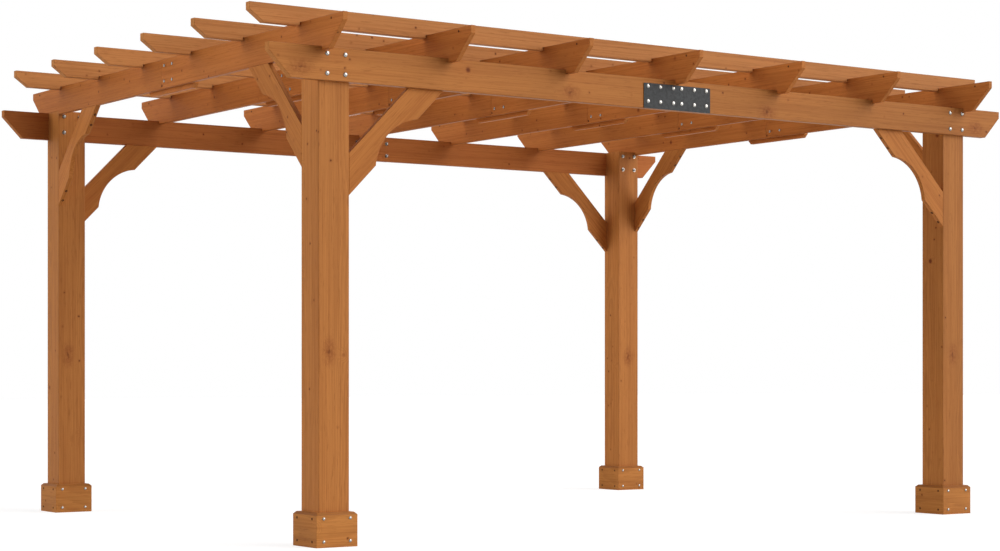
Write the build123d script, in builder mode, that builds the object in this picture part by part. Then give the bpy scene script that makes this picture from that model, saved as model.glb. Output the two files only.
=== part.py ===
"""Open wooden pergola: four posts, two long beams, seven rafters, six purlins and eight knee braces.

Millimetres. The origin is on the ground at the middle of the footprint.
X runs along the beams, Y runs from the front beam to the back beam, Z is up.
"""

import os

from build123d import *

# Stock that the pergola is cut from
post_side = 145.0
board_height = 138.0
board_thickness = 24.0
beam_thickness = 36.0
purlin_height = 80.0
purlin_thickness = 36.0
brace_width = 125.0
plate_thickness = 3.0

# Layout of the frame. Rafters are set out from the left and purlins from the front, each bay a little
# off the even pitch, and the last bay takes up the rest
beam_length = 4267.0
beam_overhang = 242.5
rafter_length = 3220.0
rafter_overhang = 175.5
purlin_overhang = 242.5
rafter_count = 7
rafter_bay_loss = 2.8
purlin_count = 6
purlin_bay_gain = 5.4
beam_top = 2064.0
beam_housing = 16.0
rafter_notch = 17.0
purlin_notch = 16.0

# Shaped ends: a short upright nose above a sloping cut
beam_nose = 33.0
beam_slope_run = 102.0
rafter_nose = 33.0
rafter_slope_run = 115.0
purlin_nose = 32.0
purlin_slope_run = 66.0

# Splices in the middle of the beams and rafters
joint_gap = 1.0
rafter_joint_y = 66.0
splice_board_length = 475.0
splice_board_shift = 8.0
splice_board_drop = 21.0
splice_corner = 20.0
plate_length = 392.0
plate_height = 115.0
plate_corner = 4.0
plate_shift = -8.0

# Knee braces
brace_leg = 468.0
brace_scoop_start = 185.0
brace_scoop_depth = 52.0

# Boxed foot of each post
foot_height = 144.0
foot_thickness = 26.0
foot_chamfer = 11.0

# Play where one timber drops over another
notch_play = 1.0
purlin_notch_play = 7.0

# Eased edges of every timber
edge_ease = 1.5

# Levels and lines that follow from the sizes above
beam_bottom = beam_top - board_height
rafter_bottom = beam_top - rafter_notch
rafter_top = rafter_bottom + board_height
purlin_bottom = rafter_top - purlin_notch
purlin_top = purlin_bottom + purlin_height
post_outer_x = beam_length / 2 - beam_overhang
post_x = post_outer_x - post_side / 2
beam_outer_y = rafter_length / 2 - rafter_overhang
beam_inner_y = beam_outer_y - beam_thickness
post_outer_y = beam_inner_y + beam_housing
post_y = post_outer_y - post_side / 2
post_inner_y = post_outer_y - post_side
end_rafter_x = post_outer_x - board_thickness / 2
end_purlin_y = post_inner_y - purlin_thickness / 2
rafter_pitch = 2 * end_rafter_x / (rafter_count - 1) - rafter_bay_loss
purlin_pitch = 2 * end_purlin_y / (purlin_count - 1) + purlin_bay_gain
rafter_lines = [-end_rafter_x + rafter_pitch * i for i in range(rafter_count - 1)] + [end_rafter_x]
purlin_lines = [-end_purlin_y + purlin_pitch * i for i in range(purlin_count - 1)] + [end_purlin_y]
SIDES = {"front": -1, "back": 1}
HANDS = {"left": -1, "right": 1}

os.makedirs("parts", exist_ok=True)


def save(part, node):
    """Label one sub-part and write it to its own STEP file."""
    part.label = node
    export_step(part, f"parts/{node}.step")


def ease_edges(piece, plane):
    """Take the sharpness off the edges of the faces that lie parallel to a plane."""
    chamfer(piece.faces().filter_by(plane).edges(), edge_ease)


def make_post(hand, side):
    """Square post with a housing on its outer face for the long beam."""
    with BuildPart() as post:
        with Locations((hand * post_x, side * post_y, 0)):
            Box(post_side, post_side, beam_top, align=(Align.CENTER, Align.CENTER, Align.MIN))
        chamfer(post.edges().filter_by(Axis.Z), edge_ease)
        with Locations((hand * post_x, side * post_outer_y, beam_bottom)):
            Box(
                post_side,
                2 * beam_housing,
                board_height,
                align=(Align.CENTER, Align.CENTER, Align.MIN),
                mode=Mode.SUBTRACT,
            )
    return post.part


def make_foot_boards(turn):
    """One mitred board on the same face of all four feet, with its top outer edge chamfered."""
    outer = post_side / 2 + foot_thickness
    inner = post_side / 2
    corner = outer - edge_ease
    mitre = outer - edge_ease / 2
    centres = [(hand * post_x, side * post_y) for side in SIDES.values() for hand in HANDS.values()]
    with BuildPart() as boards:
        with BuildSketch():
            with Locations(*[Location((x, y, 0), (0, 0, turn)) for x, y in centres]):
                Polygon(
                    (-corner, -outer),
                    (corner, -outer),
                    (mitre, -mitre),
                    (inner, -inner),
                    (-inner, -inner),
                    (-mitre, -mitre),
                    align=None,
                )
        extrude(amount=foot_height)
        with Locations(*[Location((x, y, foot_height), (0, 0, turn)) for x, y in centres]):
            with Locations((0, -outer, 0)):
                Box(
                    2 * outer,
                    foot_chamfer * 2**0.5,
                    foot_chamfer * 2**0.5,
                    rotation=(45, 0, 0),
                    mode=Mode.SUBTRACT,
                )
    return boards.part


def make_beam_half(hand, side):
    """Half of a long beam, from the splice at mid-length to its shaped end."""
    end = hand * beam_length / 2
    start = hand * joint_gap / 2
    with BuildPart() as half:
        with BuildSketch(Plane.XZ.offset(-side * beam_inner_y)):
            with BuildLine():
                Polyline(
                    (start, beam_bottom),
                    (start, beam_top),
                    (end, beam_top),
                    (end, beam_top - beam_nose),
                    (end - hand * beam_slope_run, beam_bottom),
                    close=True,
                )
            make_face()
        extrude(amount=-side * beam_thickness)
        ease_edges(half, Plane.XZ)
    return half.part


def make_splice_plate(side):
    """Steel plate across the splice, on the outer face of the beam."""
    with BuildPart() as plate:
        with BuildSketch(Plane.XZ.offset(-side * beam_outer_y)):
            with Locations((plate_shift, beam_bottom + plate_height / 2)):
                RectangleRounded(plate_length, plate_height, plate_corner)
        extrude(amount=-side * plate_thickness)
    return plate.part


def make_rafter_half(x, side, at_post):
    """Part of a rafter on one side of its splice, notched over the beam, or over beam and post."""
    end = side * rafter_length / 2
    start = rafter_joint_y + side * joint_gap / 2
    notch_outer = side * (beam_outer_y + notch_play)
    notch_inner = side * ((post_inner_y if at_post else beam_inner_y) - notch_play)
    with BuildPart() as half:
        with BuildSketch(Plane.YZ.offset(x - board_thickness / 2)):
            with BuildLine():
                Polyline(
                    (start, rafter_bottom),
                    (start, rafter_top),
                    (end, rafter_top),
                    (end, rafter_top - rafter_nose),
                    (end - side * rafter_slope_run, rafter_bottom),
                    (notch_outer, rafter_bottom),
                    (notch_outer, beam_top),
                    (notch_inner, beam_top),
                    (notch_inner, rafter_bottom),
                    close=True,
                )
            make_face()
        extrude(amount=board_thickness)
        ease_edges(half, Plane.YZ)
    return half.part


def make_splice_boards():
    """Boards that carry the rafter splices, one on the right-hand face of each rafter."""
    centre_z = rafter_bottom - splice_board_drop + board_height / 2
    with BuildPart() as boards:
        for x in rafter_lines:
            with BuildSketch(Plane.YZ.offset(x + board_thickness / 2)) as outline:
                with Locations((splice_board_shift, centre_z)):
                    Rectangle(splice_board_length, board_height)
                chamfer(outline.vertices(), splice_corner)
            extrude(amount=board_thickness)
        ease_edges(boards, Plane.YZ)
    return boards.part


def make_purlin(y):
    """Top purlin with both ends shaped and a shallow notch over every rafter."""
    end = post_outer_x + purlin_overhang
    with BuildPart() as purlin:
        with BuildSketch(Plane.XZ.offset(-y - purlin_thickness / 2)):
            with BuildLine():
                Polyline(
                    (-end, purlin_top),
                    (end, purlin_top),
                    (end, purlin_top - purlin_nose),
                    (end - purlin_slope_run, purlin_bottom),
                    (purlin_slope_run - end, purlin_bottom),
                    (-end, purlin_top - purlin_nose),
                    close=True,
                )
            make_face()
        extrude(amount=purlin_thickness)
        ease_edges(purlin, Plane.XZ)
        with Locations(*[(x, y, purlin_bottom) for x in rafter_lines]):
            Box(
                board_thickness + 2 * purlin_notch_play,
                purlin_thickness,
                2 * purlin_notch,
                mode=Mode.SUBTRACT,
            )
    return purlin.part


def make_brace(plane, amount):
    """Knee brace in the given plane: first axis away from the post, second axis down from the top."""
    inner_leg = brace_leg - brace_width * 2**0.5
    shift = brace_scoop_start / 2**0.5
    middle = brace_leg / 2 - brace_scoop_depth / 2**0.5
    with BuildPart() as brace:
        with BuildSketch(plane):
            with BuildLine():
                Polyline(
                    (brace_leg - shift, shift),
                    (brace_leg, 0),
                    (inner_leg, 0),
                    (0, inner_leg),
                    (0, brace_leg),
                    (shift, brace_leg - shift),
                )
                ThreePointArc(
                    (shift, brace_leg - shift), (middle, middle), (brace_leg - shift, shift)
                )
            make_face()
        extrude(amount=amount)
        ease_edges(brace, plane)
    return brace.part


def make_beam_brace(hand, side):
    """Brace from the post up to the underside of the beam, flush with the post's outer face."""
    corner = (hand * (post_x - post_side / 2), side * post_outer_y, beam_bottom)
    plane = Plane(origin=corner, x_dir=(-hand, 0, 0), z_dir=(0, -hand, 0))
    return make_brace(plane, hand * side * board_thickness)


def make_rafter_brace(hand, side):
    """Brace from the post up to the underside of the end rafter, flush with the post's outer face."""
    corner = (hand * post_outer_x, side * post_inner_y, rafter_bottom)
    plane = Plane(origin=corner, x_dir=(0, -side, 0), z_dir=(side, 0, 0))
    return make_brace(plane, -hand * side * board_thickness)


for side_name, side in SIDES.items():
    save(make_splice_plate(side), f"{side_name}_splice_plate")
    for hand_name, hand in HANDS.items():
        corner_name = f"{side_name}_{hand_name}"
        save(make_post(hand, side), f"{corner_name}_post")
        save(make_beam_half(hand, side), f"{side_name}_beam_{hand_name}_half")
        save(make_beam_brace(hand, side), f"{corner_name}_beam_brace")
        save(make_rafter_brace(hand, side), f"{corner_name}_rafter_brace")

for turn, face_name in enumerate(("front", "right", "back", "left")):
    save(make_foot_boards(90 * turn), f"{face_name}_foot_boards")

for number, x in enumerate(rafter_lines, start=1):
    at_post = number in (1, rafter_count)
    for side_name, side in SIDES.items():
        save(make_rafter_half(x, side, at_post), f"rafter_{number}_{side_name}_half")

for number, y in enumerate(purlin_lines, start=1):
    save(make_purlin(y), f"purlin_{number}")

save(make_splice_boards(), "rafter_splice_boards")
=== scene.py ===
# %% [markdown]
# # A timber pergola, dressed for its portrait
# The frame was sawn and notched in CAD, and arrives here as forty-odd named timbers and plates. This
# lesson gives them cedar that has been stained and oiled, black steel splice plates, and every bolt,
# washer and screw, and then lights them as a product photograph would. Everything is in metres: X along
# the long beams, Y from front to back, Z up.

# %% Load the frame
from math import cos, pi, radians, sin, sqrt

import bpy
from mathutils import Matrix, Vector


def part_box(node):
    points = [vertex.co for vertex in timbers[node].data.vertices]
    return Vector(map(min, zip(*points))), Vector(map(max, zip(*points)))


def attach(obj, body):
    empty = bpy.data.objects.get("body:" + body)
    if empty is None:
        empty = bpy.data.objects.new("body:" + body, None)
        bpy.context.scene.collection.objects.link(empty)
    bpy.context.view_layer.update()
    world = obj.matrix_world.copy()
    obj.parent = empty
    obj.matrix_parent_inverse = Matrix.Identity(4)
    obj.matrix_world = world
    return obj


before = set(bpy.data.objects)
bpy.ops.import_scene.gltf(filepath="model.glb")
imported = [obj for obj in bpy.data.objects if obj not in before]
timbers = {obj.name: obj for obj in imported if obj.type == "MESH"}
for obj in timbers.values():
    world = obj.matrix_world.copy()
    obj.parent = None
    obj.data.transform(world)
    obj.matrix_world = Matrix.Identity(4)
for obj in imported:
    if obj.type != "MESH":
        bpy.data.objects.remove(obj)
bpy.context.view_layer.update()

print("timbers and plates:", len(timbers))

# %% [markdown]
# The camera stands low and to the left of the front, and looks level into the frame. A level camera keeps
# every post upright in the picture. The picture is then slid upwards with the lens shift, as an
# architect's camera does, so that the roof fits without tilting the view.

# %% The camera
CAMERA_PLACE = (-6.3197, -9.1601, 0.7341)
CAMERA_TURN = radians(-34.56)
FOCAL_LENGTH = 77.72
SENSOR_WIDTH = 36.0
PICTURE_RISE = 0.094
VIEW_DEPTH = 200.0

lens = bpy.data.cameras.new("lens")
lens.sensor_width = SENSOR_WIDTH
lens.lens = FOCAL_LENGTH
lens.shift_y = PICTURE_RISE
lens.clip_end = VIEW_DEPTH
camera = bpy.data.objects.new("camera", lens)
camera.location = CAMERA_PLACE
camera.rotation_euler = (radians(90), 0.0, CAMERA_TURN)
bpy.context.scene.collection.objects.link(camera)
bpy.context.scene.camera = camera
print("camera stands", round(Vector(CAMERA_PLACE).length, 2), "m from the middle")

# %% [markdown]
# Materials are wired from nodes, so it helps to have a small bench of helpers first: one that adds a node
# and sets its sockets, and a few for the sums that come up again and again.

# %% Helpers for node trees
def add(tree, kind, inputs=None, **settings):
    """Add a node, set its properties, and set or link its inputs."""
    node = tree.nodes.new(kind)
    for name, value in settings.items():
        setattr(node, name, value)
    for key, value in (inputs or {}).items():
        socket = node.inputs[key]
        if isinstance(value, bpy.types.NodeSocket):
            tree.links.new(value, socket)
        else:
            socket.default_value = value
    return node


def sum_of(tree, operation, a, b=0.0, c=0.0):
    """One Math node; a, b and c are numbers or sockets."""
    return add(tree, "ShaderNodeMath", {0: a, 1: b, 2: c}, operation=operation).outputs[0]


def vector_sum(tree, operation, a, b=(0.0, 0.0, 0.0)):
    """One Vector Math node that gives a vector."""
    return add(tree, "ShaderNodeVectorMath", {0: a, 1: b}, operation=operation).outputs["Vector"]


def length_of(tree, vector):
    """The length of a vector."""
    return add(tree, "ShaderNodeVectorMath", {0: vector}, operation="LENGTH").outputs["Value"]


def vector_of(tree, x=0.0, y=0.0, z=0.0):
    """A vector put together from numbers or sockets."""
    return add(tree, "ShaderNodeCombineXYZ", {0: x, 1: y, 2: z}).outputs[0]


def blend_colours(tree, factor, a, b):
    """Mix two colours by a factor."""
    return add(tree, "ShaderNodeMix", {0: factor, 6: a, 7: b}, data_type="RGBA").outputs[2]


def step_between(tree, value, low, high, to_low=0.0, to_high=1.0):
    """A smooth step of a value from low to high."""
    limits = {"Value": value, "From Min": low, "From Max": high, "To Min": to_low, "To Max": to_high}
    return add(tree, "ShaderNodeMapRange", limits, interpolation_type="SMOOTHSTEP").outputs[0]


def fade(tree, value, near, far, most=1.0):
    """The most up to the near value, nothing beyond the far one, and smooth between."""
    return step_between(tree, value, near, far, most, 0.0)


def noise(tree, vector, scale=1.0, detail=2.0, roughness=0.5, out="Fac"):
    """Soft noise of a vector."""
    kind = {"Vector": vector, "Scale": scale, "Detail": detail, "Roughness": roughness}
    return add(tree, "ShaderNodeTexNoise", kind).outputs[out]


def start_material(name):
    """A new material with an empty node tree; returns both."""
    material = bpy.data.materials.new(name)
    material.use_nodes = True
    material.node_tree.nodes.clear()
    return material, material.node_tree


print("node helpers ready")

# %% [markdown]
# ## Cedar
# A photograph of a board could be wrapped round each timber, but it would stretch on the sawn ends and
# repeat. Real timber is solid, so this is a solid texture: year rings round a pith line, which come out
# as long lines and arches on the faces and as arcs on the sawn ends, all from the same rule. It reads a
# place given along the grain (X), across the width (Y) and through the thickness (Z) of the board. First
# come its colours. Each is written as display values from 0 to 255, and turned into the light that those
# values stand for.

# %% The colours of stained cedar
def linear(red, green, blue):
    """A colour given as 0 to 255 display values, as the light it stands for."""
    parts = [v / 255 for v in (red, green, blue)]
    return tuple(((v + 0.055) / 1.055) ** 2.4 if v > 0.04045 else v / 12.92 for v in parts) + (1.0,)


EARLY_WOOD = linear(187, 120, 61)
LATE_WOOD = linear(144, 84, 38)
STREAK_DARK = linear(152, 88, 40)
KNOT_HEART = linear(84, 34, 14)
KNOT_RIM = linear(128, 62, 28)
ARRIS_DARK = linear(112, 60, 26)
ARRIS_RUBBED = linear(205, 145, 92)
END_PALE = linear(214, 156, 96)
print("early wood as light:", [round(v, 3) for v in EARLY_WOOD[:3]])

# %% [markdown]
# A year ring is a shell round the pith, the middle line of the trunk, so what counts first is how far a
# place lies from the pith. No trunk is a perfect cylinder: the pith wanders along the board and the rings
# ripple. The distance is then counted in years. Within each year the wood starts pale and darkens to a
# sharp late line.

# %% Year rings round the pith
RING_WIDTH = 0.0042
RING_RIPPLE, RIPPLE_CHANGES = 0.008, (2.6, 16.0)
PITH_WANDER, WANDER_CHANGES = (0.0, 0.05, 0.05), (0.9, 0.2, 0.2)
PACE_YEARS, PACE_CHANGES = 2.4, 45.0
WOOD_DARKENS, YEAR_ENDS = (0.25, 0.88), (0.9, 1.0)


def drift(tree, vector, reach, **kind):
    """A soft random push either way, as large on each axis as the reach says."""
    push = vector_sum(tree, "SUBTRACT", noise(tree, vector, out="Color", **kind), (0.5, 0.5, 0.5))
    return vector_sum(tree, "MULTIPLY", push, reach)


def grain_noise(tree, wood, along, across, **kind):
    """Noise drawn out along the grain, with its changes per metre along and across."""
    return noise(tree, vector_sum(tree, "MULTIPLY", wood, (along, across, across)), **kind)


def distance_from_pith(tree, place, wood, pith):
    """How far a place lies from the wandering pith, with the ripple of the rings."""
    slow = vector_sum(tree, "MULTIPLY", wood, WANDER_CHANGES)
    wander = drift(tree, slow, PITH_WANDER, detail=1.0)
    bent = vector_sum(tree, "ADD", vector_sum(tree, "SUBTRACT", place, pith), wander)
    radius = length_of(tree, vector_sum(tree, "MULTIPLY", bent, (0.0, 1.0, 1.0)))
    ripple = grain_noise(tree, wood, *RIPPLE_CHANGES, detail=3.0, roughness=0.55)
    return sum_of(tree, "MULTIPLY_ADD", sum_of(tree, "SUBTRACT", ripple, 0.5), RING_RIPPLE, radius)


def year_rings(tree, radius, board):
    """0 in early wood, rising to 1 in the late wood of each year, with years of unequal width."""
    pace = noise(tree, vector_of(tree, sum_of(tree, "MULTIPLY", radius, PACE_CHANGES), board), detail=1.0)
    years = sum_of(tree, "MULTIPLY_ADD", pace, PACE_YEARS, sum_of(tree, "DIVIDE", radius, RING_WIDTH))
    year = sum_of(tree, "FRACT", years)
    return sum_of(tree, "MULTIPLY", step_between(tree, year, *WOOD_DARKENS), fade(tree, year, *YEAR_ENDS))


print("rings", RING_WIDTH * 1000, "mm apart")

# %% [markdown]
# Knots are what is left of branches. The small ones may fall anywhere, so they come from the cells of a
# Voronoi pattern: every cell draws a lot, and only the higher lots get a knot, with the grain bowed round
# it. Pin knots are smaller still, like dark dots with a faint halo.

# %% Small knots and pin knots
KNOT_SPACING = 0.16
KNOT_LUCK = (0.45, 1.0)
KNOT_LARGEST = 0.0115
KNOT_LEAST = 0.001
KNOT_SWIRL, KNOT_DARK, KNOT_RED = (0.0, 0.032), (-0.004, 0.0005), (0.0, 0.006)
PIN_SPACING = 0.075
PIN_DARK, PIN_HALO, PIN_HALO_SHARE = (0.0026, 0.0060), (0.004, 0.012), 0.30


def cells(tree, wood, spacing):
    """Voronoi cells at a spacing: their node, and the distance to the nearest middle in metres."""
    node = add(tree, "ShaderNodeTexVoronoi", {"Vector": wood, "Scale": 1 / spacing, "Randomness": 1.0})
    return node, sum_of(tree, "MULTIPLY", node.outputs["Distance"], spacing)


def small_knots(tree, wood):
    """How strongly the grain bows, the dark heart and the red rim of the small knots."""
    cell, away = cells(tree, wood, KNOT_SPACING)
    lot = add(tree, "ShaderNodeSeparateColor", {0: cell.outputs["Color"]}).outputs[0]
    size = step_between(tree, lot, *KNOT_LUCK, 0.0, KNOT_LARGEST)
    there = sum_of(tree, "GREATER_THAN", size, KNOT_LEAST)
    outside = sum_of(tree, "SUBTRACT", away, size)
    bands = (KNOT_SWIRL, KNOT_DARK, KNOT_RED)
    return [sum_of(tree, "MULTIPLY", fade(tree, outside, near, far), there) for near, far in bands]


def pin_knots(tree, wood):
    """The dark dots and their faint halos."""
    away = cells(tree, wood, PIN_SPACING)[1]
    return fade(tree, away, *PIN_DARK), fade(tree, away, *PIN_HALO, PIN_HALO_SHARE)


print("a cell for a small knot every", KNOT_SPACING, "m, for a pin knot every", PIN_SPACING, "m")

# %% [markdown]
# The few large knots that catch the eye stand in known places, so their places are given to the texture.
# Seen on the face of a board they are ragged clouds, longer along the grain than across it, and the rings
# sweep round them. They reach right through the board, so the thickness direction is left out of the
# distance.

# %% Large knots in known places
KNOT_RAGGED, RAGGED_SCALE = (0.045, 0.035, 0.0), 38.0
KNOT_SHAPE = (0.55, 1.0, 0.0)
SWEEP_REACH = 0.045
CLOUD_REACH, CLOUD_SHARE = (0.006, 0.046), 0.62
CORE_REACH, CORE_SHARE = (0.002, 0.009), 0.5
MOTTLE_SCALE, MOTTLE_EDGE, MOTTLE_LEAST = 70.0, (0.35, 0.65), 0.35


def large_knots(tree, place, wood, middles):
    """How strongly the grain is swept, the brown cloud and the dark core of the nearest large knot."""
    ragged = drift(tree, wood, KNOT_RAGGED, scale=RAGGED_SCALE, detail=3.0, roughness=0.7)
    reach = []
    for middle in middles:
        offset = vector_sum(tree, "ADD", vector_sum(tree, "SUBTRACT", place, middle), ragged)
        reach.append(length_of(tree, vector_sum(tree, "MULTIPLY", offset, KNOT_SHAPE)))
    near = sum_of(tree, "MINIMUM", *reach)
    mottle = step_between(tree, noise(tree, wood, scale=MOTTLE_SCALE), *MOTTLE_EDGE, MOTTLE_LEAST)
    cloud = sum_of(tree, "MULTIPLY", fade(tree, near, *CLOUD_REACH, CLOUD_SHARE), mottle)
    return fade(tree, near, 0.0, SWEEP_REACH), cloud, fade(tree, near, *CORE_REACH, CORE_SHARE)


print("a large knot is about", round(2 * SWEEP_REACH / KNOT_SHAPE[0], 2), "m long with its swept grain")

# %% [markdown]
# Stain sinks in unevenly. It lies in broad streaks, in fine lines and in short flecks, all along the
# grain, and whole patches, fibres and boards are a little lighter or darker. Each of these is noise that
# is stretched by its own amount, laid over the last one. A row of the table below says how often a streak
# changes per metre along and across the grain, how detailed it is, between which values of the noise it
# grows, and how strongly it colours the wood.

# %% Streaks and tones of the stain
RING_SHARE = 0.27
STREAKS = (
    (0.8, 22.0, 3.0, (0.42, 0.78), 0.40, STREAK_DARK),
    (1.6, 130.0, 2.0, (0.42, 0.72), 0.48, STREAK_DARK),
    (13.0, 150.0, 3.0, (0.54, 0.72), 0.50, LATE_WOOD),
)
PATCH_TONE, FIBRE_TONE, BOARD_TONE = (0.30, 0.86), (0.22, 0.89), (0.12, 0.94)


def clear_wood(tree, wood, ring):
    """Colour between the knots: rings, then broad streaks, fine lines and short flecks."""
    colour = blend_colours(tree, sum_of(tree, "MULTIPLY", ring, RING_SHARE), EARLY_WOOD, LATE_WOOD)
    for along, across, detail, grows, share, dark in STREAKS:
        streak = grain_noise(tree, wood, along, across, detail=detail, roughness=0.6)
        colour = blend_colours(tree, step_between(tree, streak, *grows, 0.0, share), colour, dark)
    return colour


def tone_of(tree, patch, fibre, board):
    """Brightness of the stain in this patch, on this fibre and on this board."""
    lot = add(tree, "ShaderNodeTexWhiteNoise", {"W": board}, noise_dimensions="1D").outputs["Value"]
    tone = sum_of(tree, "MULTIPLY_ADD", patch, *PATCH_TONE)
    for source, spread in ((fibre, FIBRE_TONE), (lot, BOARD_TONE)):
        tone = sum_of(tree, "MULTIPLY", tone, sum_of(tree, "MULTIPLY_ADD", source, *spread))
    return vector_of(tree, tone, tone, tone)


print("kinds of streak:", len(STREAKS))

# %% [markdown]
# Now the parts come together in one node group, which every board shares. It is told where the board's
# pith and large knots are, how the board took the stain with the painted light and shade of its kind, and
# where its sawn ends and arrises are. Sawn ends have dried paler. The arrises, the long edges, are painted
# a little darker, and handling has rubbed some of them bright. The group gives back a colour, a roughness,
# and a height for the bump.

# %% The cedar group
BOARD_SHIFT = (7.31, 3.77, 5.19)
KNOT_WOBBLE, WOBBLE_SCALE = (0.006, 0.006, 0.006), 60.0
SWIRL_BOW, SWEEP_BOW = 0.011, 0.016
PATCH_CHANGES, FIBRE_CHANGES = (1.1, 5.0), (9.0, 620.0)
HEART_SHARE, PIN_SHARE, RIM_SHARE = 0.7, 0.80, 0.55
END_SHARE, ARRIS_SHARE = 0.14, 0.4
RUBBED_PATCHES, RUBBED_SHARE = (0.55, 0.75), 0.5
CEDAR_ROUGH, FIBRE_ROUGH, RING_ROUGH, END_ROUGH = 0.44, 0.16, -0.05, 0.15
FIBRE_HEIGHT, RING_HEIGHT, KNOT_DEPTH = 0.55, 0.35, 0.8


def cedar_finish(tree, ring, fibre, hollow, end):
    """Roughness and height of the surface; pins and hearts of knots lie a little lower."""
    rough = sum_of(tree, "MULTIPLY_ADD", fibre, FIBRE_ROUGH, CEDAR_ROUGH)
    rough = sum_of(tree, "MULTIPLY_ADD", ring, RING_ROUGH, rough)
    rough = sum_of(tree, "MULTIPLY_ADD", end, END_ROUGH, rough)
    height = sum_of(tree, "MULTIPLY_ADD", fibre, FIBRE_HEIGHT, sum_of(tree, "MULTIPLY", ring, RING_HEIGHT))
    return rough, sum_of(tree, "SUBTRACT", height, sum_of(tree, "MULTIPLY", hollow, KNOT_DEPTH))


def make_cedar():
    """Build the node group for stained cedar and return it."""
    tree = bpy.data.node_groups.new("stained_cedar", "ShaderNodeTree")
    asked = {"Place": "Vector", "Board": "Float", "Pith": "Vector", "End": "Float", "Arris": "Float",
             "Stain": "Vector", "Knot A": "Vector", "Knot B": "Vector"}
    for name, kind in asked.items():
        tree.interface.new_socket(name, in_out="INPUT", socket_type=f"NodeSocket{kind}")
    for name, kind in (("Color", "Color"), ("Roughness", "Float"), ("Height", "Float")):
        tree.interface.new_socket(name, in_out="OUTPUT", socket_type=f"NodeSocket{kind}")
    given = add(tree, "NodeGroupInput").outputs
    place, board, pith, end, arris, stain, *middles = (given[name] for name in asked)

    # Every board is cut from another part of the forest
    shift = vector_of(tree, *(sum_of(tree, "MULTIPLY", board, far) for far in BOARD_SHIFT))
    wood = vector_sum(tree, "ADD", place, shift)
    knotty = vector_sum(tree, "ADD", wood, drift(tree, wood, KNOT_WOBBLE, scale=WOBBLE_SCALE))

    # The rings bow round the small knots and sweep round the large ones
    swirl, heart, rim = small_knots(tree, knotty)
    pin, halo = pin_knots(tree, knotty)
    swept, cloud, core = large_knots(tree, place, wood, middles)
    radius = distance_from_pith(tree, place, wood, pith)
    radius = sum_of(tree, "MULTIPLY_ADD", swirl, SWIRL_BOW, radius)
    radius = sum_of(tree, "MULTIPLY_ADD", swept, SWEEP_BOW, radius)
    ring = year_rings(tree, radius, board)

    # The stain is brushed over it, unevenly
    patch = grain_noise(tree, wood, *PATCH_CHANGES)
    fibre = grain_noise(tree, wood, *FIBRE_CHANGES, roughness=0.6)
    colour = vector_sum(tree, "MULTIPLY", clear_wood(tree, wood, ring), tone_of(tree, patch, fibre, board))
    # The stain tone of the kind multiplies in here, with its painted light and shade.
    colour = vector_sum(tree, "MULTIPLY", colour, stain)

    # Knots, sawn ends and arrises are laid over the clear wood, each with its share
    hearts = sum_of(tree, "MULTIPLY", heart, HEART_SHARE), sum_of(tree, "MULTIPLY", pin, PIN_SHARE)
    rubbed = step_between(tree, patch, *RUBBED_PATCHES, 0.0, RUBBED_SHARE)
    layers = (
        (sum_of(tree, "MAXIMUM", cloud, halo), KNOT_RIM),
        (sum_of(tree, "MULTIPLY", rim, RIM_SHARE), KNOT_RIM),
        (sum_of(tree, "MAXIMUM", sum_of(tree, "MAXIMUM", *hearts), core), KNOT_HEART),
        (sum_of(tree, "MULTIPLY", end, END_SHARE), END_PALE),
        # The arrises are painted a little darker along their length.
        (sum_of(tree, "MULTIPLY", arris, ARRIS_SHARE), ARRIS_DARK),
        (sum_of(tree, "MULTIPLY", arris, rubbed), ARRIS_RUBBED),
    )
    for share, layer in layers:
        colour = blend_colours(tree, share, colour, layer)
    rough, height = cedar_finish(tree, ring, fibre, sum_of(tree, "MAXIMUM", pin, heart), end)
    add(tree, "NodeGroupOutput", {"Color": colour, "Roughness": rough, "Height": height})
    return tree


cedar_group = make_cedar()
print("cedar group:", len(cedar_group.nodes), "nodes")

# %% [markdown]
# Four things differ from timber to timber: which way the grain runs, how the stain came out, where the
# large knots are, and where the board was cut from the trunk. The first three are looked up by the
# timber's name. A tone is a share of red, green and blue, and the first kind found in the name counts, so
# the order matters. The tones also carry painted light and shade: the back beam is painted darker for the
# shade under the roof, the rafters darker and redder for the shade under the purlins, and the purlins
# lighter and bluer for the light on top of the roof.

# %% Grain, stain with painted light and shade, and large knots of each timber
# The tones mix the stain with painted shade (back_beam, rafter) and painted light (purlin).
STAIN_AND_LIGHT_TONES = {
    "foot": (1.03, 1.08, 1.08),
    "purlin": (1.12, 1.21, 1.50),
    "back_beam": (0.92, 0.80, 0.80),
    "brace": (1.02, 0.98, 0.92),
    "splice_boards": (1.08, 0.97, 0.90),
    "rafter": (1.02, 0.90, 0.84),
    "": (0.99, 1.0, 1.03),
}
FAR_AWAY = (0.0, 0.0, 9.0)
LARGE_KNOTS = {
    "front_beam_left": ((-1.990, -1.4345, 1.974), (-0.619, -1.4345, 1.967)),
    "front_beam_right": ((0.543, -1.4345, 1.957), (1.957, -1.4345, 1.971)),
    "left_post": ((-1.840, 0.0, 0.810), (-1.840, 0.0, 0.812)),
    "right_post": ((1.815, 0.0, 0.810), (1.815, 0.0, 0.812)),
}


def grain_of(name):
    """Directions of the grain and of the width of a named timber."""
    if "post" in name:
        return (0, 0, 1), (1, 0, 0)
    if "beam_brace" in name:
        hand = -1 if "left" in name else 1
        return (-hand, 0, 1), (hand, 0, 1)
    if "rafter_brace" in name:
        side = -1 if "front" in name else 1
        return (0, -side, 1), (0, side, 1)
    if "rafter" in name or name.startswith(("left_foot", "right_foot")):
        return (0, 1, 0), (0, 0, 1)
    return (1, 0, 0), (0, 0, 1)


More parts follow.
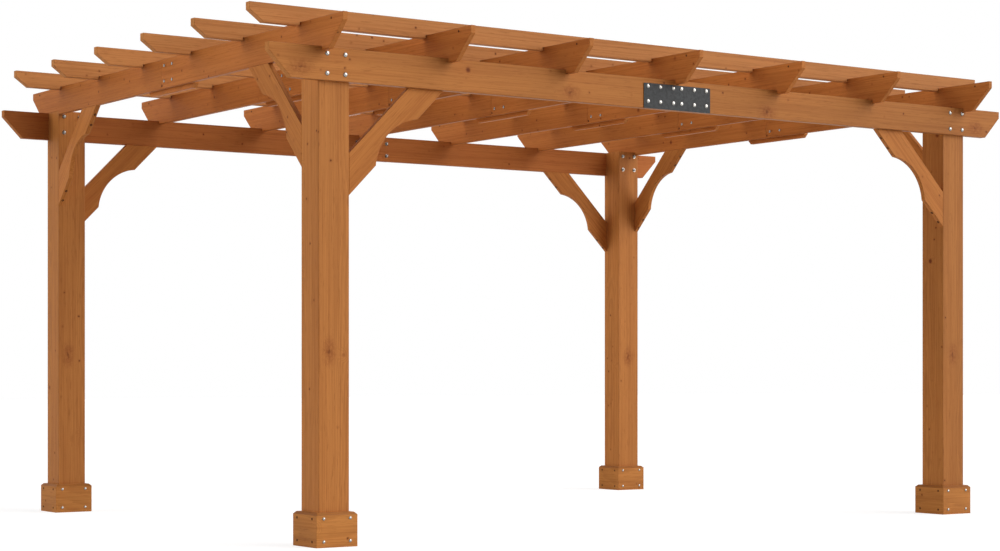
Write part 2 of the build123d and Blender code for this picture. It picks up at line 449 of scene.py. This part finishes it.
def stain_and_light_of(name):
    """How the stain came out on this kind of timber, with its painted light and shade, as red, green and
    blue shares.
    """
    return next(tone for kind, tone in STAIN_AND_LIGHT_TONES.items() if kind in name)


def knots_of(name):
    """Two places where this timber has a large knot."""
    return next((spots for kind, spots in LARGE_KNOTS.items() if kind in name), (FAR_AWAY, FAR_AWAY))


print("kinds of timber with a stain tone:", len(STAIN_AND_LIGHT_TONES), "and with large knots:", len(LARGE_KNOTS))

# %% [markdown]
# Each timber now gets a material of its own, because no two boards come from the same place in a tree. A
# Mapping node turns the board so that its grain runs along X, and centres it. The surface direction, read
# in the same turned axes, tells sawn ends and eased arrises from broad faces. The pith lies beside each
# board, at a distance and a depth that change from board to board, so that some faces show arches and
# some show lines.

# %% A material for one board
OIL_SHINE = 0.09
BUMP_STRENGTH, BUMP_DEPTH = 0.5, 0.0006
PITH_TURN = 2.4
PITH_ACROSS, PITH_UNDER = (0.11, 0.04), (0.045, 0.035)
END_FACES, SLANTING_FACES, LENGTHWISE_FACES = (0.35, 0.8), (0.75, 0.9), (0.1, 0.3)


def end_and_arris(tree, normal, spin):
    """1 on sawn ends, and 1 on the eased long edges, told by the surface direction."""
    settled = {"Vector": normal, "Rotation": spin}
    facing = add(tree, "ShaderNodeMapping", settled, vector_type="NORMAL").outputs[0]
    parts = add(tree, "ShaderNodeSeparateXYZ", {0: vector_sum(tree, "ABSOLUTE", facing)}).outputs
    slanting = fade(tree, sum_of(tree, "MAXIMUM", parts[1], parts[2]), *SLANTING_FACES)
    lengthwise = fade(tree, parts[0], *LENGTHWISE_FACES)
    return step_between(tree, parts[0], *END_FACES), sum_of(tree, "MULTIPLY", slanting, lengthwise)


def cedar_board(name, number):
    """Stained cedar for one named timber; the number says where it was cut."""
    low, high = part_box(name)
    middle = Vector((low + high) / 2)
    grain, width = (Vector(direction).normalized() for direction in grain_of(name))
    turn = Matrix((grain, width, grain.cross(width)))
    spin = turn.to_euler()
    angle = number * PITH_TURN
    pith = (0.0, PITH_ACROSS[0] + PITH_ACROSS[1] * cos(angle), PITH_UNDER[0] + PITH_UNDER[1] * sin(angle))
    knot_a, knot_b = (turn @ (Vector(spot) - middle) for spot in knots_of(name))

    material, tree = start_material(f"cedar_{name}")
    place = add(tree, "ShaderNodeTexCoord").outputs
    settled = {"Vector": place["Object"], "Location": -(turn @ middle), "Rotation": spin}
    end, arris = end_and_arris(tree, place["Normal"], spin)
    cedar = add(tree, "ShaderNodeGroup", {
        "Place": add(tree, "ShaderNodeMapping", settled).outputs[0],
        "Board": float(number + 1),
        "Pith": pith,
        "End": end,
        "Arris": arris,
        # The stain tone of the kind carries its painted light and shade.
        "Stain": stain_and_light_of(name),
        "Knot A": knot_a,
        "Knot B": knot_b,
    }, node_tree=cedar_group)
    bump = add(tree, "ShaderNodeBump", {
        "Height": cedar.outputs["Height"], "Strength": BUMP_STRENGTH, "Distance": BUMP_DEPTH,
    })
    shader = add(tree, "ShaderNodeBsdfPrincipled", {
        "Base Color": cedar.outputs["Color"],
        "Roughness": cedar.outputs["Roughness"],
        "Normal": bump.outputs[0],
        "IOR": 1.45,
        "Specular IOR Level": OIL_SHINE,
    })
    add(tree, "ShaderNodeOutputMaterial", {"Surface": shader.outputs[0]})
    return material


def dress(name, material):
    """Give every slot of a timber or plate one material."""
    for slot in timbers[name].material_slots:
        slot.material = material


boards = [(number, name) for number, name in enumerate(sorted(timbers)) if "plate" not in name]
for number, name in boards:
    dress(name, cedar_board(name, number))
print("timbers in cedar:", len(boards))

# %% [markdown]
# ## Metal
# The splice plates are steel with a black powder coat: not quite black, finely pebbled, and a little
# worn. The bolts are zinc plated, bright and slightly brushed by handling, and the screws have a dark
# brown coat. All three come from one recipe: a cloud that varies the colour, and a fine grain that varies
# the gloss and gives the bump.

# %% Steel, zinc and dark screws
CLOUD_SCALE = 70.0
CLOUD_EDGE = (0.35, 0.65)
GLOSS_SPREAD = 0.18
GRAIN_BUMP = 0.4


def metal(name, colour, rough, metallic, grain_scale, grain_depth, vary, shine=0.5):
    """A metal or coated finish with a fine grain and slightly uneven colour and gloss."""
    material, tree = start_material(name)
    place = add(tree, "ShaderNodeTexCoord").outputs["Object"]
    fine = noise(tree, place, scale=grain_scale, detail=3.0, roughness=0.6)
    cloud = noise(tree, place, scale=CLOUD_SCALE, detail=3.0, roughness=0.7)
    dim = tuple(v * (1 - vary) for v in colour[:3]) + (1.0,)
    bright = tuple(min(1.0, v * (1 + vary)) for v in colour[:3]) + (1.0,)
    bump = add(tree, "ShaderNodeBump", {"Height": fine, "Strength": GRAIN_BUMP, "Distance": grain_depth})
    shader = add(tree, "ShaderNodeBsdfPrincipled", {
        "Base Color": blend_colours(tree, step_between(tree, cloud, *CLOUD_EDGE), dim, bright),
        "Roughness": sum_of(tree, "MULTIPLY_ADD", fine, GLOSS_SPREAD, rough - GLOSS_SPREAD / 2),
        "Metallic": metallic,
        "Specular IOR Level": shine,
        "Normal": bump.outputs[0],
    })
    add(tree, "ShaderNodeOutputMaterial", {"Surface": shader.outputs[0]})
    return material


black_coat = metal("black_powder_coat", linear(36, 37, 38), 0.4, 0.0, 900.0, 0.0002, 0.45, shine=0.18)
# The zinc is a little warm: a painted reflection of the wood around the bolts.
bright_zinc = metal("bright_zinc", linear(156, 153, 148), 0.2, 1.0, 1400.0, 0.00005, 0.05)
brown_screw = metal("brown_screw_coat", linear(38, 14, 7), 0.6, 0.0, 1500.0, 0.00005, 0.2, shine=0.1)
for name in timbers:
    if "plate" in name:
        dress(name, black_coat)
print("metals:", black_coat.name, bright_zinc.name, brown_screw.name)

# %% [markdown]
# ## Bolts, nuts and screws
# There are a few hundred fasteners, of three kinds, so each kind is one Geometry Nodes tree. It makes one
# head and stands a copy on every point of a small mesh. Each point carries the direction that its head
# faces. First come two helpers: one that starts a tree with named inputs, and one that plants heads on
# points.

# %% Helpers for the fastener trees
def start_tree(name, sizes):
    """A geometry tree with named sizes, a seed and a material; returns the tree and its input sockets."""
    tree = bpy.data.node_groups.new(name, "GeometryNodeTree")
    tree.interface.new_socket("Geometry", in_out="INPUT", socket_type="NodeSocketGeometry")
    for label, value in sizes.items():
        socket = tree.interface.new_socket(label, in_out="INPUT", socket_type="NodeSocketFloat")
        socket.default_value = value
    tree.interface.new_socket("Seed", in_out="INPUT", socket_type="NodeSocketInt")
    tree.interface.new_socket("Finish", in_out="INPUT", socket_type="NodeSocketMaterial")
    tree.interface.new_socket("Geometry", in_out="OUTPUT", socket_type="NodeSocketGeometry")
    return tree, add(tree, "NodeGroupInput").outputs


def turned_outward(tree, seed):
    """The rotation of each head: facing outward, and turned about that direction at random."""
    outward = add(tree, "GeometryNodeInputNamedAttribute", {"Name": "outward"}, data_type="FLOAT_VECTOR")
    aim = add(tree, "FunctionNodeAlignRotationToVector", {"Vector": outward.outputs[0]}, axis="Z")
    limits = {"Min": 0.0, "Max": 2 * pi, "Seed": seed}
    chance = add(tree, "FunctionNodeRandomValue", limits, data_type="FLOAT")
    angle = next(o for o in chance.outputs if o.enabled)
    spin = add(tree, "FunctionNodeAxisAngleToRotation", {"Axis": (0.0, 0.0, 1.0), "Angle": angle})
    both = {"Rotation": aim.outputs[0], "Rotate By": spin.outputs[0]}
    return add(tree, "FunctionNodeRotateRotation", both, rotation_space="LOCAL").outputs[0]


def plant(tree, given, head):
    """Stand the head on every point, make the copies real, give them the finish, and end the tree."""
    rotation = turned_outward(tree, given["Seed"])
    copies = {"Points": given["Geometry"], "Instance": head, "Rotation": rotation}
    stand = add(tree, "GeometryNodeInstanceOnPoints", copies).outputs[0]
    real = add(tree, "GeometryNodeRealizeInstances", {"Geometry": stand}).outputs[0]
    finish = {"Geometry": real, "Material": given["Finish"]}
    finished = add(tree, "GeometryNodeSetMaterial", finish).outputs[0]
    add(tree, "NodeGroupOutput", {"Geometry": finished})
    return tree


print("tree helpers ready")

# %% [markdown]
# Heads are put together from a few turned shapes: half a ball for a dome, and a short cone for a washer,
# a collar or, with six sides, a nut. The half ball is a whole one whose lower half is pressed flat, so
# that it stays closed underneath.

# %% Turned shapes
FAR_BELOW = -9.0


def scaled(tree, mesh, x, y, z, up):
    """Scale a mesh and lift it."""
    change = {"Geometry": mesh, "Scale": vector_of(tree, x, y, z), "Translation": vector_of(tree, z=up)}
    return add(tree, "GeometryNodeTransform", change).outputs[0]


def smoothed(tree, mesh):
    """The mesh with smooth shading."""
    return add(tree, "GeometryNodeSetShadeSmooth", {"Geometry": mesh}).outputs[0]


def dome(tree, diameter, height, up, segments, rings):
    """Half a ball with a flat underside, standing at the given height."""
    whole = {"Segments": segments, "Rings": rings, "Radius": 1.0}
    ball = add(tree, "GeometryNodeMeshUVSphere", whole).outputs[0]
    here = add(tree, "GeometryNodeInputPosition").outputs[0]
    above = vector_sum(tree, "MAXIMUM", here, (FAR_BELOW, FAR_BELOW, 0.0))
    pressed = add(tree, "GeometryNodeSetPosition", {"Geometry": ball, "Position": above}).outputs[0]
    half = sum_of(tree, "DIVIDE", diameter, 2.0)
    return scaled(tree, pressed, half, half, height, up)


def disc(tree, diameter, thickness, up, sides, bevel):
    """A flat disc, washer or nut blank whose top is smaller by the bevel."""
    half = sum_of(tree, "DIVIDE", diameter, 2.0)
    top = sum_of(tree, "MULTIPLY", half, bevel)
    sizes = {"Vertices": sides, "Radius Top": top, "Radius Bottom": half, "Depth": thickness}
    blank = add(tree, "GeometryNodeMeshCone", sizes, fill_type="NGON").outputs[0]
    return scaled(tree, blank, 1.0, 1.0, 1.0, up)


def joined(tree, *meshes):
    """Join meshes into one."""
    node = add(tree, "GeometryNodeJoinGeometry")
    for mesh in reversed(meshes):
        tree.links.new(mesh, node.inputs[0])
    return node.outputs[0]


print("turned shapes ready")

# %% [markdown]
# The coach bolt has a smooth low dome on a thin collar, so nothing can be turned from outside. Its other
# end has a washer and a nut, with the bolt's rounded tip just showing.

# %% The coach bolt and its nut
CAP_SHARE = 0.985
TIP_SHARE, TIP_HEIGHT = 0.8, 0.004


def make_coach_bolt():
    """A low round dome on a thin collar."""
    sizes = {"Head Diameter": 0.0205, "Head Height": 0.0052, "Collar": 0.0008}
    tree, given = start_tree("coach_bolt", sizes)
    collar = disc(tree, given["Head Diameter"], given["Collar"], 0.0, sides=20, bevel=CAP_SHARE)
    diameter = sum_of(tree, "MULTIPLY", given["Head Diameter"], CAP_SHARE)
    cap = dome(tree, diameter, given["Head Height"], given["Collar"], segments=20, rings=10)
    return plant(tree, given, joined(tree, collar, smoothed(tree, cap)))


def make_nut():
    """Washer, hexagon nut and rounded bolt tip."""
    sizes = {"Washer Diameter": 0.022, "Washer Thickness": 0.0018,
             "Nut Diameter": 0.0165, "Nut Height": 0.0065}
    tree, given = start_tree("washer_and_nut", sizes)
    thick = given["Washer Thickness"]
    washer = disc(tree, given["Washer Diameter"], thick, 0.0, sides=24, bevel=0.96)
    hexagon = disc(tree, given["Nut Diameter"], given["Nut Height"], thick, sides=6, bevel=0.97)
    top = sum_of(tree, "ADD", thick, given["Nut Height"])
    diameter = sum_of(tree, "MULTIPLY", given["Nut Diameter"], TIP_SHARE)
    tip = dome(tree, diameter, TIP_HEIGHT, top, segments=12, rings=6)
    return plant(tree, given, joined(tree, washer, hexagon, smoothed(tree, tip)))


coach_bolt, nut = make_coach_bolt(), make_nut()
print("fastener trees:", coach_bolt.name, nut.name)

# %% [markdown]
# The wood screw has a flat head with a six-lobed recess. The head is a filled circle that is raised and
# slightly tapered. Its top face is then inset, pushed and pulled into six lobes, and sunk into the head.

# %% The wood screw
SCREW_SIDES = 18
TAPER = 0.93
LOBES = 6.0
LOBE_DEPTH, RECESS_SHARE = 0.10, 0.46


def extruded(tree, mesh, offset, faces=True):
    """Extrude the chosen faces as one; returns the mesh and the choice of the faces that moved."""
    ask = {"Mesh": mesh, "Selection": faces, "Offset Scale": offset, "Individual": False}
    node = add(tree, "GeometryNodeExtrudeMesh", ask, mode="FACES")
    return node.outputs[0], node.outputs[1]


def star_places(tree):
    """Places drawn in towards the middle, more and less by turns, so that they form lobes."""
    here = add(tree, "GeometryNodeInputPosition").outputs[0]
    axes = add(tree, "ShaderNodeSeparateXYZ", {0: here}).outputs
    bearing = sum_of(tree, "ARCTAN2", axes[1], axes[0])
    lobe = sum_of(tree, "COSINE", sum_of(tree, "MULTIPLY", bearing, LOBES))
    share = sum_of(tree, "MULTIPLY_ADD", lobe, LOBE_DEPTH, RECESS_SHARE)
    return vector_sum(tree, "MULTIPLY", here, vector_of(tree, share, share, 1.0))


def make_wood_screw():
    """Flat head with a six-lobed recess sunk into it."""
    sizes = {"Head Diameter": 0.0095, "Head Height": 0.0009, "Recess Depth": 0.0022}
    tree, given = start_tree("wood_screw", sizes)
    outline = {"Vertices": SCREW_SIDES, "Radius": sum_of(tree, "DIVIDE", given["Head Diameter"], 2.0)}
    blank = add(tree, "GeometryNodeMeshCircle", outline, fill_type="NGON").outputs[0]
    risen, top = extruded(tree, blank, given["Head Height"])
    taper = {"Geometry": risen, "Selection": top, "Scale": TAPER}
    slope = add(tree, "GeometryNodeScaleElements", taper).outputs[0]
    inner, middle = extruded(tree, slope, 0.0, top)
    pushed = {"Geometry": inner, "Selection": middle, "Position": star_places(tree)}
    lobed = add(tree, "GeometryNodeSetPosition", pushed).outputs[0]
    depth = sum_of(tree, "MULTIPLY", given["Recess Depth"], -1.0)
    return plant(tree, given, extruded(tree, lobed, depth, middle)[0])


wood_screw = make_wood_screw()
print("fastener tree:", wood_screw.name, "with", len(wood_screw.nodes), "nodes")

# %% [markdown]
# The next helper plants one family of fasteners: it makes the points, runs the tree on them, and keeps
# the result as a plain mesh, because a live modifier would be lost when the model is exported. The sizes
# that a family is given replace the tree's own.

# %% Plant one family of fasteners
KINDS = {
    "coach_bolt": (coach_bolt, bright_zinc, "bolt_zinc"),
    "nut": (nut, bright_zinc, "bolt_zinc"),
    "wood_screw": (wood_screw, brown_screw, "screw_coat"),
}


def plant_fasteners(name, kind, spots, **sizes):
    """Make one mesh of fasteners at (place, outward) spots and let it ride on the frame."""
    tree, finish, slot = KINDS[kind]
    points = bpy.data.meshes.new(name + "_points")
    points.from_pydata([place for place, _ in spots], [], [])
    facing = points.attributes.new("outward", "FLOAT_VECTOR", "POINT")
    facing.data.foreach_set("vector", [v for _, out in spots for v in out])
    carrier = bpy.data.objects.new(name + "_points", points)
    bpy.context.scene.collection.objects.link(carrier)

    modifier = carrier.modifiers.new("fasteners", "NODES")
    modifier.node_group = tree
    sockets = {item.name: item.identifier for item in tree.interface.items_tree if item.in_out == "INPUT"}
    for label, value in sizes.items():
        modifier[sockets[label.replace("_", " ").title()]] = value
    modifier[sockets["Seed"]] = len(spots)
    modifier[sockets["Finish"]] = finish
    bpy.context.view_layer.update()
    solid = carrier.evaluated_get(bpy.context.evaluated_depsgraph_get())
    mesh = bpy.data.meshes.new_from_object(solid)
    bpy.data.objects.remove(carrier)

    piece = bpy.data.objects.new(name, mesh)
    bpy.context.scene.collection.objects.link(piece)
    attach(piece, "root")
    print(name, len(spots), "pieces,", sum(len(p.vertices) - 2 for p in mesh.polygons), "triangles")


print("kinds of fastener:", ", ".join(KINDS))

# %% [markdown]
# Four coach bolts hold each beam to each post. Their heads are on the outside and their nuts on the inner
# face of the post, where the photograph shows them on the posts at the back.

# %% Bolts through the beams and posts
SIDES = (-1, 1)
POST_X, POST_Y, POST_HALF = 1.8185, 1.342, 0.0725
BEAM_OUTER_Y, BEAM_INNER_Y = 1.4345, 1.3985
BEAM_BOLT_STEPS = (-0.043, 0.043)
BEAM_BOLT_HEIGHTS = (1.955, 2.037)

post_corners = [(hand, side) for side in SIDES for hand in SIDES]
beam_heads, beam_nuts = [], []
for hand, side in post_corners:
    for step in BEAM_BOLT_STEPS:
        for z in BEAM_BOLT_HEIGHTS:
            x = hand * POST_X + step
            beam_heads.append(((x, side * BEAM_OUTER_Y, z), (0, side, 0)))
            beam_nuts.append(((x, side * (POST_Y - POST_HALF), z), (0, -side, 0)))
plant_fasteners("beam_bolt_heads", "coach_bolt", beam_heads)
plant_fasteners("beam_bolt_nuts", "nut", beam_nuts)

# %% [markdown]
# Twelve bolts go through each splice plate and the two halves of the beam behind it.

# %% Bolts through the splice plates
PLATE_MIDDLE = -0.008
PLATE_FACE = BEAM_OUTER_Y + 0.003
PLATE_BOLT_STEPS = (-0.172, -0.100, -0.024, 0.024, 0.100, 0.172)
PLATE_BOLT_HEIGHTS = (1.958, 2.027)

plate_heads, plate_nuts = [], []
for side in SIDES:
    for step in PLATE_BOLT_STEPS:
        for z in PLATE_BOLT_HEIGHTS:
            plate_heads.append(((PLATE_MIDDLE + step, side * PLATE_FACE, z), (0, side, 0)))
            plate_nuts.append(((PLATE_MIDDLE + step, side * BEAM_INNER_Y, z), (0, -side, 0)))
plant_fasteners("plate_bolt_heads", "coach_bolt", plate_heads, head_height=0.004)
plant_fasteners("plate_bolt_nuts", "nut", plate_nuts)

# %% [markdown]
# The rafters stand at an even pitch from the left, and the last one closes the row. Each rafter splice has
# four bolts, with their heads on the left face and their nuts on the splice board, and one dark screw
# close to the joint. One more dark screw sits near the top of each rafter's tail.

# %% Bolts and screws in the rafters
END_RAFTER_X, RAFTER_PITCH, EVEN_RAFTERS = 1.879, 0.6235, 6
RAFTER_HALF, SPLICE_BOARD = 0.012, 0.024
SPLICE_BOLT_STEPS = (-0.048, 0.034)
SPLICE_BOLT_HEIGHTS = (2.081, 2.154)
SPLICE_SCREW_Y, SPLICE_SCREW_HEIGHT = 0.058, 2.060
TAIL_SCREW_Y, TAIL_SCREW_HEIGHT = 1.517, 2.169

rafter_lines = [i * RAFTER_PITCH - END_RAFTER_X for i in range(EVEN_RAFTERS)] + [END_RAFTER_X]
splice_heads, splice_nuts, splice_screws, tail_screws = [], [], [], []
for x in rafter_lines:
    for y in SPLICE_BOLT_STEPS:
        for z in SPLICE_BOLT_HEIGHTS:
            splice_heads.append(((x - RAFTER_HALF, y, z), (-1, 0, 0)))
            splice_nuts.append(((x + RAFTER_HALF + SPLICE_BOARD, y, z), (1, 0, 0)))
    splice_screws.append(((x - RAFTER_HALF, SPLICE_SCREW_Y, SPLICE_SCREW_HEIGHT), (-1, 0, 0)))
    for side in SIDES:
        tail_screws.append(((x - RAFTER_HALF, side * TAIL_SCREW_Y, TAIL_SCREW_HEIGHT), (-1, 0, 0)))
plant_fasteners("splice_bolt_heads", "coach_bolt", splice_heads, head_diameter=0.0145, head_height=0.004)
plant_fasteners("splice_bolt_nuts", "nut", splice_nuts)
plant_fasteners("splice_screws", "wood_screw", splice_screws)
plant_fasteners("tail_screws", "wood_screw", tail_screws)

# %% [markdown]
# The foot boards are held by small bright bolts on the front and back faces and by dark screws on the
# sides, one near each corner of a board.

# %% Fixings of the feet
FOOT_HALF = 0.0985
FOOT_FIXING_STEPS = (-0.063, 0.063)
FOOT_BOLT_HEIGHTS = (0.025, 0.1195)
FOOT_SCREW_DROP = 0.001

foot_heads, foot_screws = [], []
for hand, side in post_corners:
    x, y = hand * POST_X, side * POST_Y
    for out in SIDES:
        for step in FOOT_FIXING_STEPS:
            for z in FOOT_BOLT_HEIGHTS:
                foot_heads.append(((x + step, y + out * FOOT_HALF, z), (0, out, 0)))
                foot_screws.append(((x + out * FOOT_HALF, y + step, z - FOOT_SCREW_DROP), (out, 0, 0)))
plant_fasteners("foot_bolt_heads", "coach_bolt", foot_heads, head_diameter=0.0135, head_height=0.003)
plant_fasteners("foot_screws", "wood_screw", foot_screws, head_diameter=0.011)

# %% [markdown]
# The braces have two dark screws near each end, driven through the straight parts of their outer edge.
# That edge slants at 45 degrees, so each screw is placed by how far it lies along the edge from the top.

# %% Screws in the braces
BRACE_LEG, BRACE_MIDDLE = 0.468, 0.012
BEAM_BOTTOM, RAFTER_BOTTOM = 1.926, 2.047
BRACE_SCREW_RUNS = (0.060, 0.127, 0.565, 0.628)
SLANT = 1 / sqrt(2)

brace_screws = []
for hand, side in post_corners:
    for run in BRACE_SCREW_RUNS:
        away, down = BRACE_LEG - run * SLANT, run * SLANT
        x = hand * (POST_X - POST_HALF - away)
        y = side * (POST_Y + POST_HALF - BRACE_MIDDLE)
        brace_screws.append(((x, y, BEAM_BOTTOM - down), (-hand * SLANT, 0, -SLANT)))
        x = hand * (POST_X + POST_HALF - BRACE_MIDDLE)
        y = side * (POST_Y - POST_HALF - away)
        brace_screws.append(((x, y, RAFTER_BOTTOM - down), (0, -side * SLANT, -SLANT)))
plant_fasteners("brace_screws", "wood_screw", brace_screws, head_diameter=0.0135)

# %% [markdown]
# ## Light and floor
# The pergola is lit softly on white. Three far-off round lamps do it, each wide enough for soft shadows:
# the key at the front right, the fill low at the back left, which brightens the left faces, and a weak
# rim lamp at the back right. The fill and the rim are not mirrored, so that they lay no veil of shine on
# the oiled wood. The sky gives hardly any light, because an even sky would wash out the shadows under the
# roof. It is plain white only to whatever looks at it or mirrors it.

# %% Sky and lamps
SKY_LIGHT = 0.04
LAMP_DISTANCE = 10.0


def seen_directly(tree):
    """1 for rays that look at or mirror a surface, 0 for rays that only carry light."""
    path = add(tree, "ShaderNodeLightPath").outputs
    seen = sum_of(tree, "MAXIMUM", path["Is Camera Ray"], path["Is Glossy Ray"])
    return sum_of(tree, "MAXIMUM", seen, path["Is Transmission Ray"])


def soft_lamp(name, bearing, height, spread, strength, mirrored=True):
    """A far-off round lamp; bearing is counted from X towards Y, height from the floor, all in degrees."""
    light = bpy.data.lights.new(name, "SUN")
    light.angle = radians(spread)
    light.energy = strength
    level = cos(radians(height))
    toward = Vector((level * cos(radians(bearing)), level * sin(radians(bearing)), sin(radians(height))))
    lamp = bpy.data.objects.new(name, light)
    lamp.location = LAMP_DISTANCE * toward
    lamp.visible_glossy = mirrored
    lamp.rotation_euler = (-toward).to_track_quat("-Z", "Y").to_euler()
    bpy.context.scene.collection.objects.link(lamp)
    print(name, "lamp at bearing", bearing, "height", height, "degrees")


sky = bpy.data.worlds.new("sky")
bpy.context.scene.world = sky
sky.use_nodes = True
sky_tree = sky.node_tree
sky_tree.nodes.clear()
strength = sum_of(sky_tree, "MULTIPLY_ADD", seen_directly(sky_tree), 1 - SKY_LIGHT, SKY_LIGHT)
glow = add(sky_tree, "ShaderNodeBackground", {"Color": (1, 1, 1, 1), "Strength": strength})
add(sky_tree, "ShaderNodeOutputWorld", {"Surface": glow.outputs[0]})

soft_lamp("key", bearing=315, height=26, spread=60, strength=3.1)
soft_lamp("fill", bearing=152, height=16, spread=62, strength=2.1, mirrored=False)
soft_lamp("rim", bearing=45, height=38, spread=60, strength=0.45, mirrored=False)
bpy.context.scene.view_settings.view_transform = "Standard"

# %% [markdown]
# The floor is a large pale sheet. Seen directly, rather more than half of it is a plain white glow and
# the rest is what the light makes of it, so it is as white as the sky and keeps the soft shadow under the
# feet.

# %% The floor
FLOOR_HALF = 40.0
FLOOR_WHITE = 0.55
FLOOR_GLOW = 1.46
FLOOR_PALE = (0.80, 0.80, 0.80, 1)

floor_mesh = bpy.data.meshes.new("floor")
corners = [(x * FLOOR_HALF, y * FLOOR_HALF, 0) for x, y in ((-1, -1), (1, -1), (1, 1), (-1, 1))]
floor_mesh.from_pydata(corners, [], [(0, 1, 2, 3)])
floor = bpy.data.objects.new("floor", floor_mesh)
bpy.context.scene.collection.objects.link(floor)

paper, paper_tree = start_material("white_paper")
matt = add(paper_tree, "ShaderNodeBsdfDiffuse", {"Color": FLOOR_PALE})
white = add(paper_tree, "ShaderNodeEmission", {"Color": (1, 1, 1, 1), "Strength": FLOOR_GLOW})
share = sum_of(paper_tree, "MULTIPLY", seen_directly(paper_tree), FLOOR_WHITE)
surface = add(paper_tree, "ShaderNodeMixShader", {0: share, 1: matt.outputs[0], 2: white.outputs[0]})
add(paper_tree, "ShaderNodeOutputMaterial", {"Surface": surface.outputs[0]})
floor_mesh.materials.append(paper)
print("floor", 2 * FLOOR_HALF, "m wide")
